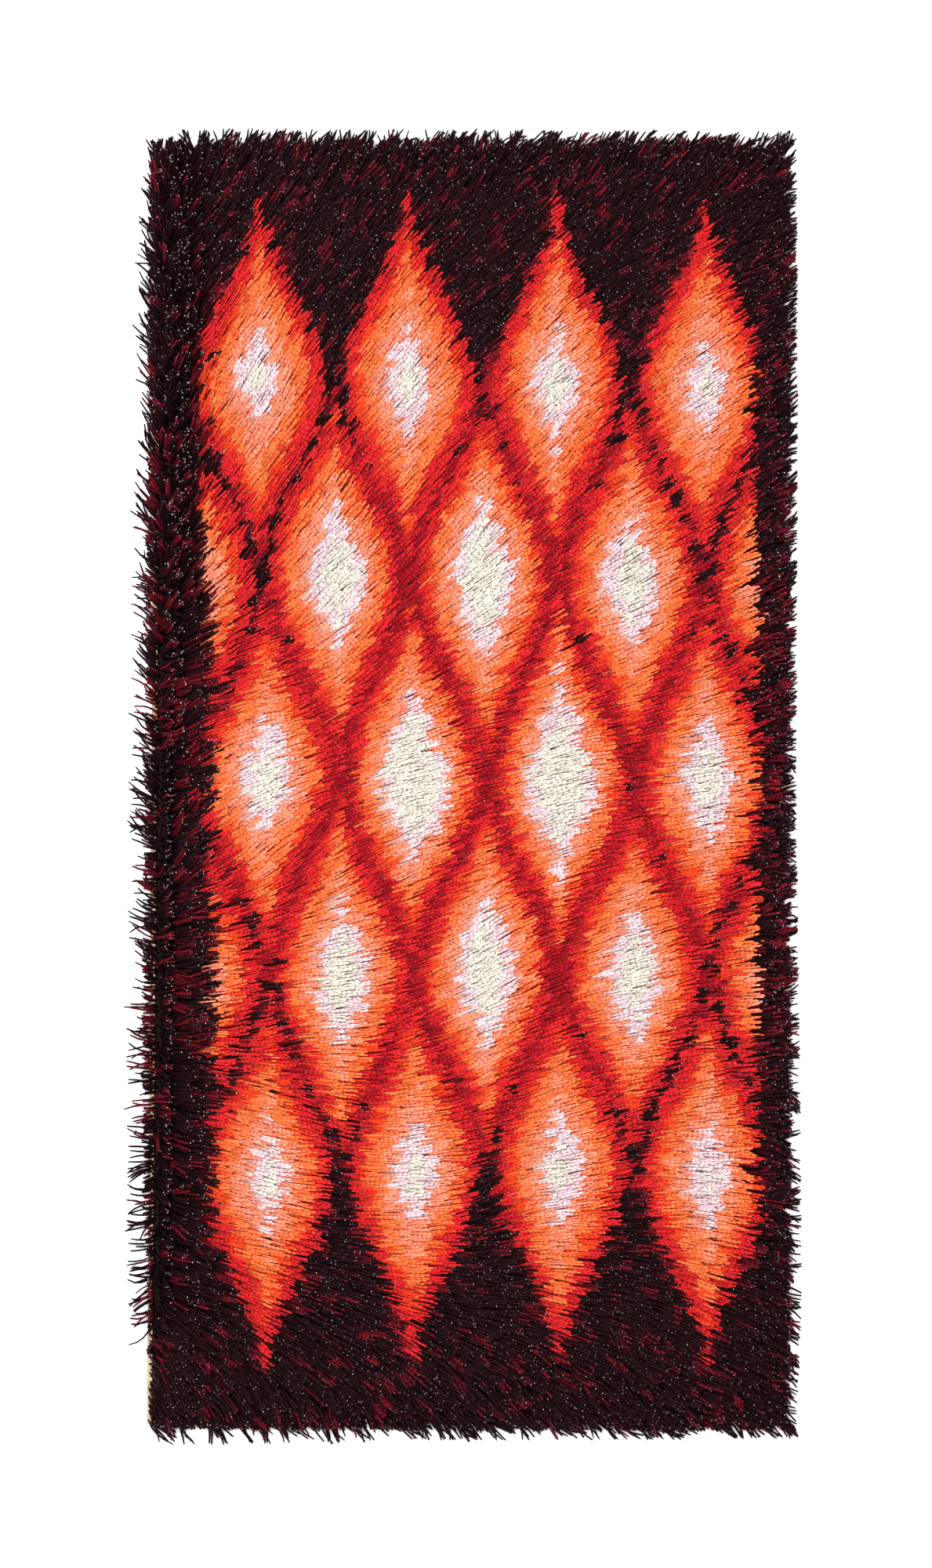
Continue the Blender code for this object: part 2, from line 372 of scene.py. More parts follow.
    def reach(self, x: Array, y: Array, owner: Array, rng: Chance) -> Array:
        """How far past the nearest side of the cloth each end may reach.

        Args:
            x: the places of the tips across the rug.
            y: the places of the tips along it.
            owner: each end's knot. The ends of a knot stand out together, but not at the left.
            rng: the source of chance, for which ends stand out.

        Returns:
            One distance for each end.
        """
        along = np.clip(y / CLOTH_LENGTH + 0.5, 0, 1)
        across = np.clip(x / CLOTH_WIDTH + 0.5, 0, 1)
        sides = (
            (x - left_edge(y), self.left_rim, along),
            (CLOTH_WIDTH / 2 - x, self.right_rim, along),
            (y + CLOTH_LENGTH / 2, self.bottom_rim, across),
            (CLOTH_LENGTH / 2 - y, self.top_rim, across),
        )
        nearest = np.argmin(np.stack([inside for inside, _, _ in sides]), axis=0)
        far, out, rest = (
            np.choose(nearest, [
                np.interp(share, [row.at for row in rows], [getattr(row, name) for row in rows])
                for _, rows, share in sides
            ])
            for name in ("reach", "out", "rest")
        )
        shared = rng.random(owner.max() + 1)[owner] + rng.normal(0, self.knot_spread, len(x))
        stands = np.where(nearest == 0, rng.random(len(x)), shared) < out
        far = far * (1 - self.reach_spread * np.abs(rng.normal(0, 1, len(x))))
        rest = rest + rng.normal(0, self.rest_spread, len(x))
        return np.where(stands, np.maximum(far, rest), rest)


def left_edge(y: Array) -> Array:
    """The place of the cloth's left edge, which is drawn in towards the top corner."""
    return -CLOTH_WIDTH / 2 + CORNER_DRAW * np.clip(y / CLOTH_LENGTH + 0.5, 0, 1)


def past_cloth(x: Array, y: Array) -> Array:
    """How far outside the cloth each place is.

    Args:
        x: the places across the rug.
        y: the places along it.

    Returns:
        One distance for each place, negative inside the cloth.
    """
    sides = (left_edge(y) - x, x - CLOTH_WIDTH / 2, np.abs(y) - CLOTH_LENGTH / 2)
    return np.maximum(np.maximum(sides[0], sides[1]), sides[2])


@dataclass
class Lattice:
    """The charted pattern: an ogee lattice of long motifs, each in bands of graded colour.

    Attributes:
        half_width: half a motif's width at its middle.
        half_length: from a motif's middle to its tip.
        column_step: between the motifs of a row, and twice the shift of every other row.
        row_step: between the rows.
        rows: each row's place in steps, with the number of motifs in it.
        edges: where the bands end in a motif at the rug's middle, as shares of its size.
        edges_far: the same in the motifs furthest from the middle.
    """

    half_width: float = 0.0692
    half_length: float = 0.212
    column_step: float = 0.160
    row_step: float = 0.212
    rows: tuple[tuple[int, int], ...] = ((-2, 4), (-1, 5), (0, 4), (1, 5), (2, 4))
    field_width: float = 0.592
    edges: tuple[float, ...] = (0.50, 0.62, 0.750, 0.870, 0.925, 1.02)
    edges_far: tuple[float, ...] = (0.12, 0.30, 0.52, 0.73, 0.80, 1.02)
    far_width: float = 0.34
    far_length: float = 0.50
    dither: float = 0.022
    ground_wine: float = 0.16
    near_wine: float = 0.48
    near_band: float = 0.28
    crimson_reach: float = 0.80
    crimson_spread: float = 0.10
    field_spread: float = 0.002
    dithered_to: float = 0.97
    halvings: int = 14

    def centres(self) -> list[Triple]:
        """The motifs' places.

        Returns:
            Each motif's place across and along the rug, and how far it is from the middle, from 0 to 1.
        """
        found = []
        for step, count in self.rows:
            for k in range(count):
                x = (k - (count - 1) / 2) * self.column_step
                y = step * self.row_step
                far = hypot(x / self.far_width, y / self.far_length)
                found.append((x, y, min(1.0, far)))
        return found

    def size_share(self, dx: Array, dy: Array) -> Array:
        """The size of the like motif that passes through each place.

        Args:
            dx: the places across the rug, from the motif's middle.
            dy: the places along it, from the motif's middle.

        Returns:
            One size for each place, as a share of the motif's.
        """
        low = np.full(len(dx), 1e-3)
        high = np.full(len(dx), 4.0)
        for _ in range(self.halvings):
            middle = (low + high) / 2
            turn = np.clip(np.abs(dy) / (self.half_length * middle), 0, 1) * pi
            inside = np.abs(dx) <= self.half_width * middle * (1 + np.cos(turn)) / 2
            inside &= np.abs(dy) < self.half_length * middle
            high = np.where(inside, middle, high)
            low = np.where(inside, low, middle)
        return (low + high) / 2

    def chart(self, x: Array, y: Array, rng: Chance) -> Array:
        """The yarn of each knot.

        Args:
            x: the knots' places across the rug.
            y: the knots' places along it.
            rng: the source of chance.

        Returns:
            A yarn's number for each knot.
        """
        best = np.full(len(x), np.inf)
        far_of = np.zeros(len(x))
        for centre_x, centre_y, far in self.centres():
            share = self.size_share(x - centre_x, y - centre_y)
            closer = share < best
            best = np.where(closer, share, best)
            far_of = np.where(closer, far, far_of)
        wobble = best + rng.normal(0, self.dither, len(x)) * (best < self.dithered_to)
        yarn = np.full(len(x), YarnName.GROUND.value)
        near, distant = np.array(self.edges), np.array(self.edges_far)
        for band in range(len(near) - 1, -1, -1):
            limit = near[band] + (distant[band] - near[band]) * far_of
            yarn = np.where((wobble < limit) & (best < 1), band, yarn)
        outside = np.abs(x + rng.normal(0, self.field_spread, len(x))) > self.field_width / 2
        yarn = np.where(outside, YarnName.GROUND.value, yarn)
        channel = best >= 1
        centre_far = np.hypot(x / self.far_width, y / self.far_length)
        centre_far = centre_far + rng.normal(0, self.crimson_spread, len(x))
        crimson = channel & (centre_far < self.crimson_reach)
        yarn = np.where(crimson, YarnName.CRIMSON.value, yarn)
        dark = yarn == YarnName.GROUND.value
        close = np.clip(1 - (best - 1) / self.near_band, 0, 1)
        chance = self.ground_wine + (self.near_wine - self.ground_wine) * close
        wine = dark & (rng.random(len(x)) < chance)
        return np.where(wine, YarnName.WINE.value, yarn)


@dataclass
class Master:
    """One yarn end, modelled once along +Z and copied for every end of its kind.

    Attributes:
        name: what the end is called while it is modelled.
        sections: how far along it each of its rings stands, as shares of its length.
        widths: the ring's size there, as a share of the yarn's.
    """

    name: str
    sections: tuple[float, ...]
    widths: tuple[float, ...]
    sides: int = 3
    places: Array = field(init=False)
    faces: Array = field(init=False)
    maps: Array = field(init=False)

    def model(self) -> None:
        """Models the end: a cylinder of few sides, cut into rings and drawn out to a closed tip."""
        clear_selection()
        edit = bpy.ops.mesh
        edit.primitive_cylinder_add(
            vertices=self.sides, radius=1, depth=self.sections[-1], location=(0, 0, self.sections[-1] / 2)
        )
        end = bpy.context.object
        end.name = self.name
        bpy.ops.object.transform_apply(location=True, rotation=True, scale=True)
        bpy.ops.object.mode_set(mode="EDIT")
        for height in self.sections[1:-1]:
            edit.select_all(action="SELECT")
            edit.bisect(plane_co=(0, 0, height), plane_no=(0, 0, 1))
        self.select_level(end, self.sections[-1])
        edit.extrude_region_move(TRANSFORM_OT_translate={"value": (0, 0, 1 - self.sections[-1])})
        edit.merge(type="CENTER")
        edit.select_all(action="SELECT")
        edit.quads_convert_to_tris()
        edit.normals_make_consistent(inside=False)
        bpy.ops.object.mode_set(mode="OBJECT")
        self.read(end)
        bpy.data.objects.remove(end, do_unlink=True)

    def select_level(self, end: Piece, height: float) -> None:
        """Selects the points of the end that stand at one height.

        Args:
            end: the end, in edit mode.
            height: the height.
        """
        bpy.ops.mesh.select_all(action="DESELECT")
        shape = bmesh.from_edit_mesh(end.data)
        for vert in shape.verts:
            vert.select = abs(vert.co.z - height) < 1e-4
        shape.select_flush(True)
        bmesh.update_edit_mesh(end.data)

    def read(self, end: Piece) -> None:
        """Keeps the end's points, faces and unrolled map as arrays.

        Args:
            end: the finished model of the end.
        """
        mesh = end.data
        self.places = np.array([vert.co[:] for vert in mesh.vertices])
        self.faces = np.array([list(face.vertices) for face in mesh.polygons])
        x, y, level = self.places.T
        around = (np.arctan2(y, x) / (2 * pi) % 1)[self.faces]
        middle = np.hypot(x, y)[self.faces] < 1e-3
        wraps = (np.where(middle, 0, around).max(1) - np.where(middle, 1, around).min(1)) > 0.5
        around = np.where(wraps[:, None] & (around < 0.5) & ~middle, around + 1, around)
        mean = np.where(middle, 0, around).sum(1) / np.maximum(1, (~middle).sum(1))
        around = np.where(middle, mean[:, None], around)
        self.maps = np.stack((around / (1 + 1 / self.sides), level[self.faces]), axis=2)

    def levels(self) -> Array:
        """The share of the length at which each point of the end stands."""
        return self.places[:, 2]


@dataclass
class Pile:
    """The knotted pile: every yarn end, from its knot to its tip, as one mesh for each yarn."""

    lie: Lie
    lattice: Lattice
    knot_step: float = 0.0086
    across_spread: float = 0.0006
    along_spread: float = 0.0005
    side_margin: float = 0.0060
    end_margin: float = 0.0065
    ends_per_knot: float = 4.10
    end_spots: tuple[tuple[float, float], ...] = (
        (0.125, -0.375), (-0.375, -0.125), (0.375, 0.125), (-0.125, 0.375), (0.0, 0.0),
        (-0.25, -0.45), (0.25, 0.45),
    )
    spot_stray: float = 0.09
    ground_in_wine: float = 0.30
    strip: float = 0.034
    outer_row: float = 0.016
    stretch: float = 1.28
    strip_more: float = 1.6
    knot_height: float = 0.0022
    length: float = 0.0400
    length_spread: float = 0.035
    yarn_radius: float = 0.00152
    radius_spread: float = 0.06
    root_rise: float = radians(76)
    tip_rise: float = radians(9)
    rise_spread: float = radians(4.5)
    calm_share: float = 0.35
    unrest_share: float = 1.4
    stand_rise: float = radians(66)
    stand_short: float = 0.34
    bend: float = 1.6
    aside: float = radians(9.0)
    knot_aside: float = radians(11.0)
    knot_spread: float = 0.05
    curl: float = radians(18)
    end_curl: float = 0.5
    curl_from: float = 0.4
    calm: float = 0.22
    rim_rise: float = radians(10)
    draw: float = 0.36
    rim_draw: float = 0.36
    rim_slope: float = 0.034
    rim_low: float = 0.66
    rim_curl: float = radians(26)
    left_curl: float = radians(40)
    left_row: float = 0.0105
    left_share: float = 0.64
    left_aside: float = radians(7)
    left_swing: float = radians(16)
    left_scale: float = 0.030
    droop: float = 5.4
    twist: float = 0.9
    roll: float = radians(30)
    roll_place: float = 0.75
    steps: int = 16
    cells: int = 16
    cell_margin: float = 0.06
    rim_reach: float = 0.0065
    pieces: list[Piece] = field(default_factory=list)

    def knots(self, rng: Chance) -> tuple[Array, Array]:
        """The knots' places, in rows across the rug.

        Args:
            rng: the source of chance.

        Returns:
            The places across and along the rug.
        """
        along = CLOTH_LENGTH - 2 * self.end_margin
        across = CLOTH_WIDTH - 2 * self.side_margin
        rows = round(along / self.knot_step) + 1
        columns = round(across / self.knot_step) + 1
        y = np.repeat(np.linspace(-along / 2, along / 2, rows), columns)
        share = np.tile(np.linspace(0, 1, columns), rows)
        low = left_edge(y) + self.side_margin
        high = CLOTH_WIDTH / 2 - self.side_margin
        x = low + (high - low) * share
        return x + rng.normal(0, self.across_spread, len(x)), y + rng.normal(0, self.along_spread, len(y))

    def ends(self, rng: Chance) -> Ends:
        """Shares the ends out over the knots and gives each its chances.

        Args:
            rng: the source of chance.

        Returns:
            Arrays with a value for each end, by name.
        """
        knot_x, knot_y = self.knots(rng)
        knot_yarn = self.lattice.chart(knot_x, knot_y, rng)
        counts = np.full(len(knot_x), int(self.ends_per_knot))
        counts += rng.random(len(knot_x)) < self.ends_per_knot - int(self.ends_per_knot)
        counts += np.array([YARNS[yarn].more for yarn in YarnName])[knot_yarn]
        inside = knot_x - left_edge(knot_y)
        counts += ((rng.random(len(knot_x)) + self.strip_more) * (inside < self.strip)).astype(int)
        counts += inside < self.outer_row / 2
        owner = np.repeat(np.arange(len(knot_x)), counts)
        which = np.arange(len(owner)) - np.repeat(np.cumsum(counts) - counts, counts)
        set_aside, set_ahead = np.array(self.end_spots).T
        stray = self.spot_stray
        aside = set_aside[which % len(set_aside)] + rng.uniform(-stray, stray, len(owner))
        ahead = set_ahead[which % len(set_ahead)] + rng.uniform(-stray, stray, len(owner))
        aside, ahead = aside * self.knot_step, ahead * self.knot_step
        yarn = knot_yarn[owner]
        mixed = (yarn == YarnName.WINE.value) & (rng.random(len(owner)) < self.ground_in_wine)
        return {
            "x": knot_x[owner] + aside,
            "y": knot_y[owner] + ahead,
            "aside": aside,
            "ahead": ahead,
            "yarn": np.where(mixed, YarnName.GROUND.value, yarn),
            "owner": owner,
            "knot_x": knot_x,
            "knot_y": knot_y,
        }

    def paths(self, ends: Ends, rng: Chance) -> Array:
        """The middle line of every end, from its root to its tip.

        Args:
            ends: the ends, as the method of that name gives them.
            rng: the source of chance.

        Returns:
            An array of points, by end, step and axis.
        """
        x, y, owner = ends["x"], ends["y"], ends["owner"]
        count, knots = len(x), len(ends["knot_x"])
        lie = self.lie.vectors(ends["knot_x"], ends["knot_y"], rng)
        unrest = self.lie.unrest(ends["knot_x"], ends["knot_y"])
        loose = self.calm + (1 - self.calm) * unrest
        knot_heading = np.arctan2(lie[:, 1], lie[:, 0]) + loose * rng.normal(0, self.knot_aside, knots)
        knot_curl = loose * rng.normal(0, self.curl, knots)
        knot_length = self.length * (1 + rng.normal(0, self.knot_spread, knots))
        flat = np.clip(np.hypot(lie[:, 0], lie[:, 1]), 0, 1)[owner]
        inside = -past_cloth(x, y)
        at_rim = 1 - smooth_step(inside / self.rim_slope)
        at_left = (x - left_edge(y) < self.left_row) & (rng.random(count) < self.left_share)
        heading = knot_heading[owner] + loose[owner] * rng.normal(0, self.aside, count)
        along_left = self.lie.edge_heading(y) + rng.normal(0, self.left_aside, count)
        along_left = along_left + self.left_swing * noise_over(x, y, self.left_scale, 2.5)
        parted = self.lie.edge_zone(y) > self.lie.parting_from
        heading = np.where(at_left & parted, along_left, heading)
        curl = knot_curl[owner] + loose[owner] * rng.normal(0, self.curl * self.end_curl, count)
        curl = curl + rng.normal(0, 1, count) * at_rim * np.where(at_left, self.left_curl, self.rim_curl)
        length = knot_length[owner] * (1 + rng.normal(0, self.length_spread, count))
        length = length * (1 - self.stand_short * (1 - flat))
        tip = self.tip_rise + self.rim_rise * unrest[owner] + (1 - flat) * self.stand_rise
        unlike = self.calm_share + self.unrest_share * unrest[owner]
        tip = tip + rng.normal(0, self.rise_spread, count) * unlike
        root = np.maximum(self.root_rise + rng.normal(0, self.rise_spread, count), tip)
        share = (np.arange(self.steps) + 0.5) / self.steps
        rise = tip[:, None] + (root - tip)[:, None] * (1 - share)[None, :] ** self.bend
        turn = heading[:, None] + curl[:, None] * (share - self.curl_from)[None, :]
        step = (length / self.steps)[:, None]
        across = np.cumsum(step * np.cos(rise) * np.cos(turn), axis=1)
        along = np.cumsum(step * np.cos(rise) * np.sin(turn), axis=1)
        up = np.cumsum(step * np.sin(rise), axis=1)
        start = np.zeros((count, 1))
        across, along, up = (np.concatenate((start, part), axis=1) for part in (across, along, up))
        drawn = smooth_step(np.arange(self.steps + 1) / self.steps)[None, :]
        together = self.draw * loose[owner] + self.rim_draw * at_rim
        drawn = drawn * np.where(at_left, 0, together)[:, None]
        across = across - ends["aside"][:, None] * drawn
        along = along - ends["ahead"][:, None] * drawn
        return self.settle(ends, across, along, up, rng)

    def settle(self, ends: Ends, across: Array, along: Array, up: Array, rng: Chance) -> Array:
        """Keeps the ends within the rug's reach, lets them down over its rim and onto the floor.

        Args:
            ends: the ends, by name of value.
            across: each end's run across the rug, by step.
            along: each end's run along the rug, by step.
            up: each end's rise, by step.
            rng: the source of chance.

        Returns:
            An array of points, by end, step and axis.
        """
        x, y = ends["x"], ends["y"]
        inside = -past_cloth(x, y)
        past = past_cloth(x + across[:, -1], y + along[:, -1])
        most = self.lie.reach(x + across[:, -1], y + along[:, -1], ends["owner"], rng)
        shorter = np.clip((most + inside) / np.maximum(past + inside, 1e-6), 0.05, self.stretch)
        stretched = (past > 0) & (inside < self.outer_row) & (most > self.rim_reach)
        shorter = np.where((past > most) | stretched, shorter, 1)[:, None]
        across, along = across * shorter, along * shorter
        low = self.rim_low + (1 - self.rim_low) * smooth_step(inside / self.rim_slope)
        up = up * low[:, None]
        places_x, places_y = x[:, None] + across, y[:, None] + along
        outside = np.maximum(past_cloth(places_x, places_y), 0)
        height = self.knot_height + up - self.droop * outside**1.5
        floor = np.where(outside > 0, self.yarn_radius, CLOTH_THICKNESS)
        return np.stack((places_x, places_y, np.maximum(height, floor)), axis=2)

    def bent(self, master: Master, paths: Array, loft: float, rng: Chance) -> Array:
        """Copies a master end along every path.

        Args:
            master: the end that is copied.
            paths: the middle lines, by end, step and axis.
            loft: the ends' thickness, as a share of the usual one.
            rng: the source of chance.

        Returns:
            The copies' points, by end, point and axis.
        """
        levels = np.unique(np.round(master.levels(), 5))
        spot = levels * self.steps
        low = np.minimum(spot.astype(int), self.steps - 1)
        part = (spot - low)[None, :, None]
        centres = paths[:, low] * (1 - part) + paths[:, low + 1] * part
        before = paths[:, np.maximum(low - 1, 0)]
        after = paths[:, np.minimum(low + 2, self.steps)]
        tangent = after - before
        tangent /= np.maximum(np.linalg.norm(tangent, axis=2, keepdims=True), 1e-9)
        side = np.stack((tangent[..., 1], -tangent[..., 0], np.zeros(tangent.shape[:2])), axis=2)
        side /= np.maximum(np.linalg.norm(side, axis=2, keepdims=True), 1e-6)
        over = np.cross(side, tangent)
        radius = self.yarn_radius * loft * (1 + rng.normal(0, self.radius_spread, len(paths)))
        part_turn = 2 * pi / master.sides
        start = (rng.integers(0, master.sides, len(paths)) + 0.5) * part_turn
        start = start + rng.normal(0, self.roll, len(paths)) - self.twist * self.roll_place
        which = np.searchsorted(levels, np.round(master.levels(), 5))
        widths = np.interp(master.levels(), master.sections, master.widths)
        x, y, _ = master.places.T
        flat_radius, angle = np.hypot(x, y) * widths, np.arctan2(y, x)
        turned = angle[None, :] + start[:, None] + self.twist * master.levels()[None, :]
        size = radius[:, None] * flat_radius[None, :]
        return (
            centres[:, which]
            + side[:, which] * (np.cos(turned) * size)[..., None]
            + over[:, which] * (np.sin(turned) * size)[..., None]
        )

    def add_piece(self, name: str, parts: list[tuple[Master, Array]], rng: Chance) -> None:
        """Joins the copies of the masters into one mesh with its unrolled map.

        Args:
            name: the piece's name.
            parts: each master with the points of its copies.
            rng: the source of chance, for which cell of the map each end takes.
        """
        points, corners, maps = [], [], []
        base = 0
        for master, places in parts:
            count, per_end = places.shape[:2]
            shift = base + np.arange(count)[:, None, None] * per_end
            corners.append((master.faces[None] + shift).reshape(-1))
            points.append(places.reshape(-1, 3))
            cell = rng.integers(0, self.cells, (count, 2))
            inner = self.cell_margin + (1 - 2 * self.cell_margin) * master.maps
            maps.append(((cell[:, None, None, :] + inner[None]) / self.cells).reshape(-1, 2))
            base += count * per_end
        points, corners, maps = (np.concatenate(item) for item in (points, corners, maps))
        mesh = bpy.data.meshes.new(name)
        mesh.vertices.add(len(points))
        mesh.vertices.foreach_set("co", points.astype(np.float32).ravel())
        mesh.loops.add(len(corners))
        mesh.loops.foreach_set("vertex_index", corners.astype(np.int32))
        mesh.polygons.add(len(corners) // 3)
        mesh.polygons.foreach_set("loop_start", np.arange(0, len(corners), 3, dtype=np.int32))
        layer = mesh.uv_layers.new(name=BAKE_MAP)
        layer.data.foreach_set("uv", maps.astype(np.float32).ravel())
        mesh.update(calc_edges=True)
        mesh.shade_smooth()
        piece = bpy.data.objects.new(name, mesh)
        bpy.context.scene.collection.objects.link(piece)
        self.pieces.append(piece)

    def build(self) -> None:
        """Makes every end and joins the ends of each yarn."""
        rng = np.random.default_rng(SEED)
        inner = Master("pile_end", (0.0, 0.45, 0.955), (1.0, 1.24, 0.92))
        outer = Master("rim_end", (0.0, 0.24, 0.48, 0.72, 0.955), (0.80, 0.84, 0.82, 0.80, 0.66))
        for master in (inner, outer):
            master.model()
        ends = self.ends(rng)
        paths = self.paths(ends, rng)
        past = past_cloth(paths[:, -1, 0], paths[:, -1, 1])
        at_rim = past > self.rim_reach
        log.info("%d ends, %d of them at the rim", len(past), int(at_rim.sum()))
        third = CLOTH_LENGTH / 6
        parts_of_ground = {
            "upper": ends["y"] >= third,
            "middle": np.abs(ends["y"]) < third,
            "lower": ends["y"] <= -third,
        }
        for yarn in YarnName:
            whole = ends["yarn"] == yarn.value
            groups = {f"pile_{yarn.name.lower()}": whole}
            if yarn is YarnName.GROUND:
                groups = {f"pile_ground_{part}": whole & here for part, here in parts_of_ground.items()}
            for name, chosen in groups.items():
                parts = [
                    (master, self.bent(master, paths[chosen & kind], YARNS[yarn].loft, rng))
                    for master, kind in ((inner, ~at_rim), (outer, at_rim))
                    if (chosen & kind).any()
                ]
                self.add_piece(name, parts, rng)
                dress_yarn(self.pieces[-1], YARNS[yarn])
                log.info("%s: %d triangles", name, len(self.pieces[-1].data.polygons))


class Nodes:
    """Adds and joins the nodes of one material."""

    def __init__(self, name: str) -> None:
        """Makes an empty node material with its shader and output.

        Args:
            name: the material's name.
        """
        self.material = bpy.data.materials.new(name)
        self.material.use_nodes = True
        self.tree = self.material.node_tree
        self.shader = self.tree.nodes["Principled BSDF"]

    def add(self, kind: str, sockets: dict | None = None, **settings: object) -> bpy.types.Node:
        """A new node.

        Args:
            kind: the node's type, without its common first part.
            sockets: what goes into its sockets, by their names or numbers.
            settings: the node's own settings.

        Returns:
            The node.
        """
        node = self.tree.nodes.new("ShaderNode" + kind)
        for name, value in settings.items():
            setattr(node, name, value)
        for key, value in (sockets or {}).items():
            self.put(value, node.inputs[key])
        return node

    def math(self, operation: str, first: object, second: object = 0.0) -> Socket:
        """A sum on two numbers, each of them a socket or a plain number."""
        return self.add("Math", {0: first, 1: second}, operation=operation).outputs[0]

    def times(self, *factors: object) -> Socket:
        """The product of sockets and numbers.

        Args:
            factors: the sockets and numbers.

        Returns:
            The socket with the result.
        """
        product = factors[0]
        for factor in factors[1:]:
            product = self.math("MULTIPLY", product, factor)
        return product

    def vector(self, operation: str, first: Socket, scale: object = 1.0) -> Socket:
        """A sum on a vector, with a scale where the sum has one."""
        return self.add("VectorMath", {0: first, 3: scale}, operation=operation).outputs[0]

    def mix(self, part: object, first: object, second: object) -> Socket:
        """A mix of two colours, of which the part is the second one's share."""
        return self.add("Mix", {"Factor": part, 6: first, 7: second}, data_type="RGBA").outputs[2]

    def span(self, value: object, low: float, high: float, to_low: float, to_high: float) -> Socket:
        """A value carried from one range to another, and held at its ends."""
        return self.add("MapRange", dict(enumerate((value, low, high, to_low, to_high)))).outputs[0]

    def put(self, value: object, socket: Socket) -> None:
        """Joins a socket to another, or sets it to a plain value.

        Args:
            value: the other socket, or the value.
            socket: the socket that is set.
        """
        if isinstance(value, Socket):
            self.tree.links.new(value, socket)
        elif isinstance(value, tuple) and len(value) == 3 and socket.type == "RGBA":
            socket.default_value = (*value, 1)
        else:
            socket.default_value = value

    def finish(self, values: dict[str, object]) -> None:
        """Sets the shader's own sockets by name."""
        for name, value in values.items():
            self.put(value, self.shader.inputs[name])

    def bump(self, height: Socket, distance: float, strength: float) -> None:
        """Raises the surface by a height from -1 to 1: how far at 1, and how strongly it shows."""
        node = self.add("Bump", {"Strength": strength, "Distance": distance, "Height": height})
        self.put(node.outputs[0], self.shader.inputs["Normal"])


def dress_yarn(piece: Piece, yarn: Yarn) -> None:
    """Gives a piece of the pile its wool: tones end by end, the twist of two plies with painted shade in
    their groove, painted light towards the tip, and a painted glint on some tips.

    Args:
        piece: the piece of the pile.
        yarn: its wool.
    """
    nodes = Nodes(piece.name + "_wool")
    unrolled = nodes.add("UVMap", uv_map=BAKE_MAP).outputs[0]
    scaled = nodes.vector("SCALE", unrolled, float(Pile.cells))
    tone = nodes.add("TexWhiteNoise", {"Vector": nodes.vector("FLOOR", scaled)}, noise_dimensions="2D")
    around, along, _ = nodes.add("SeparateXYZ", {0: nodes.vector("FRACTION", scaled)}).outputs
    base = nodes.mix(tone.outputs["Value"], yarn.colour, yarn.hue_shift)
    _, chance, other_chance = nodes.add("SeparateColor", {0: tone.outputs["Color"]}).outputs
    light = nodes.span(chance, 0, 1, 1 - yarn.spread, 1 + yarn.spread)
    turns = nodes.math("ADD", nodes.times(around, PLIES), nodes.times(along, PLY_TURNS))
    wave = nodes.math("SINE", nodes.times(turns, 2 * pi))
    # Painted shade: the groove between the plies darker and their ridges a little lighter, following the
    # bump.
    groove = nodes.span(wave, -1, 0.4, yarn.groove, 1.04)
    # Painted light: each end a little darker along most of its length and paler towards its tip.
    tip = nodes.span(along, 0.70, 0.95, 0.96, 1.06)
    lit = nodes.vector("SCALE", base, nodes.times(light, groove, tip))
    # Painted highlight: a pale glint on part of the way round some ends' tips, stronger on lighter-toned
    # ends.
    cut = nodes.math("GREATER_THAN", along, GLINT_FROM)
    side = nodes.math("LESS_THAN", around, GLINT_AROUND)
    some = nodes.math("LESS_THAN", other_chance, yarn.glint)
    bright = nodes.span(nodes.math("POWER", tone.outputs["Value"], GLINT_POWER), 0, 1, 0.08, 0.95)
    nodes.finish({
        "Base Color": nodes.mix(nodes.times(cut, side, some, bright), lit, GLINT_COLOUR),
        "Roughness": yarn.roughness,
        "Specular IOR Level": yarn.shine,
        "Specular Tint": yarn.tint,
        "Sheen Weight": yarn.sheen,
        "Sheen Roughness": 0.45,
        "Sheen Tint": yarn.tint,
    })
    nodes.bump(wave, PLY_RISE, 0.5)
    piece.data.materials.append(nodes.material)


